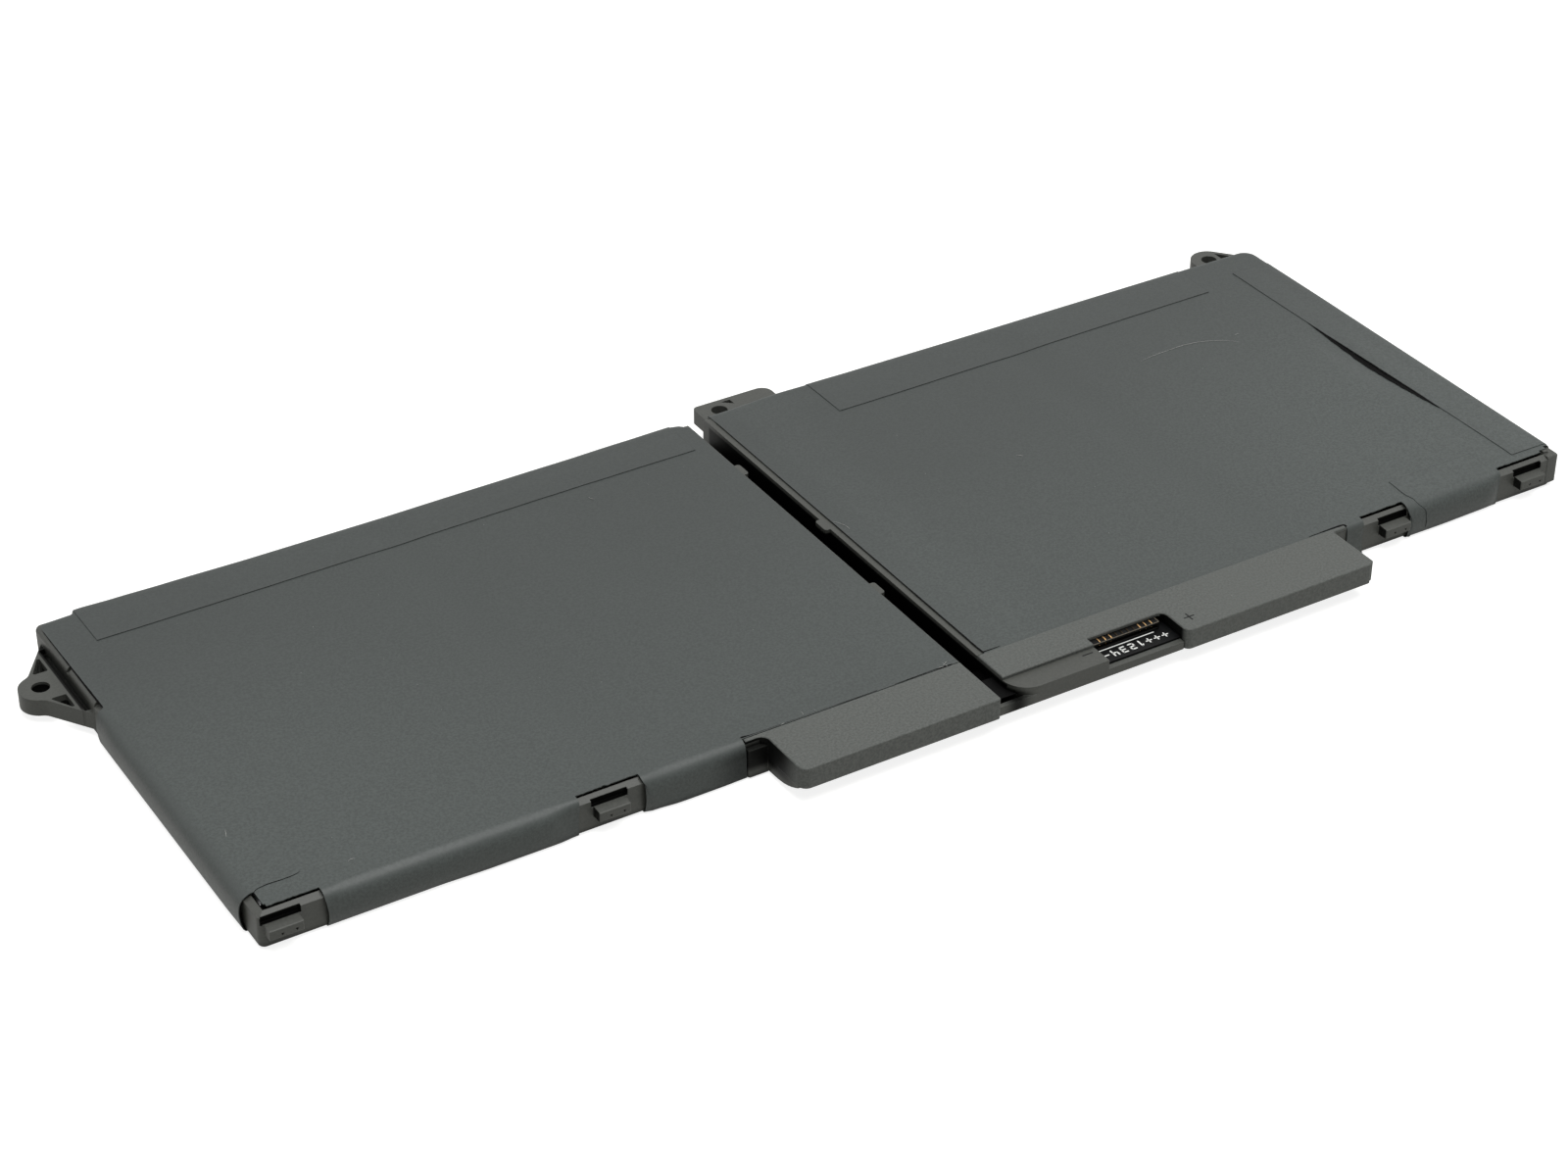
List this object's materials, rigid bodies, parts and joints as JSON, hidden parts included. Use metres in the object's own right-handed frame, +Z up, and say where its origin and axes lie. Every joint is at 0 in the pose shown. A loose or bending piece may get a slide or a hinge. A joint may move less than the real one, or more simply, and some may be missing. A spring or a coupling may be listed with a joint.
{
  "type": "laptop battery",
  "caption": "Flat internal laptop battery: two film-wrapped cell packs in a moulded frame with screw ears, hooks, thin front housings and an open connector bay.",
  "frame": {"origin": "middle of the footprint, on the plane that the battery's flat underside rests on", "axes": "+X along the battery from the left pack to the right pack, +Y from the connector side to the back, +Z up from the underside"},
  "size_m": [0.238, 0.0966, 0.0063],
  "materials": {
    "frame_plastic": "fine matt moulding",
    "cover_plastic": "spark-grained matt moulding",
    "film": "satin polyester film",
    "tape": "satin tape",
    "cell_pouch": "satin laminated foil",
    "nickel": "nickel strip",
    "circuit_board": "black solder mask",
    "insulated_strip": "black insulated copper strip",
    "connector_plastic": "black moulded",
    "contact_metal": "gold flash",
    "chip_plastic": "moulded package",
    "fuse_body": "matt ceramic",
    "foam": "closed-cell foam"
  },
  "bodies": {
    "root": {"board_cover": "cover_plastic", "cell_1": "cell_pouch", "cell_1_negative_tab": "nickel", "cell_1_positive_tab": "nickel", "cell_2": "cell_pouch", "cell_2_negative_tab": "nickel", "cell_2_positive_tab": "nickel", "cell_3": "cell_pouch", "cell_3_negative_tab": "nickel", "cell_3_positive_tab": "nickel", "cell_4": "cell_pouch", "cell_4_negative_tab": "nickel", "cell_4_positive_tab": "nickel", "charge_transistor": "chip_plastic", "chassis_frame": "frame_plastic", "connector_contacts": "contact_metal", "connector_housing": "connector_plastic", "discharge_transistor": "chip_plastic", "fuse": "fuse_body", "gauge_chip": "chip_plastic", "left_back_tape": "tape", "left_bottom_sheet": "film", "left_cell_pads": "foam", "left_film": "film", "left_series_strip": "nickel", "left_terminal_board": "circuit_board", "left_terminal_cover": "cover_plastic", "link_strip": "insulated_strip", "protection_board": "circuit_board", "right_back_tape": "tape", "right_bottom_sheet": "film", "right_cell_pads": "foam", "right_film": "film", "right_front_tape": "tape", "right_series_strip": "nickel", "right_side_tape": "tape", "sense_resistor": "nickel", "thermistor": "chip_plastic"}
  },
  "joints": []
}
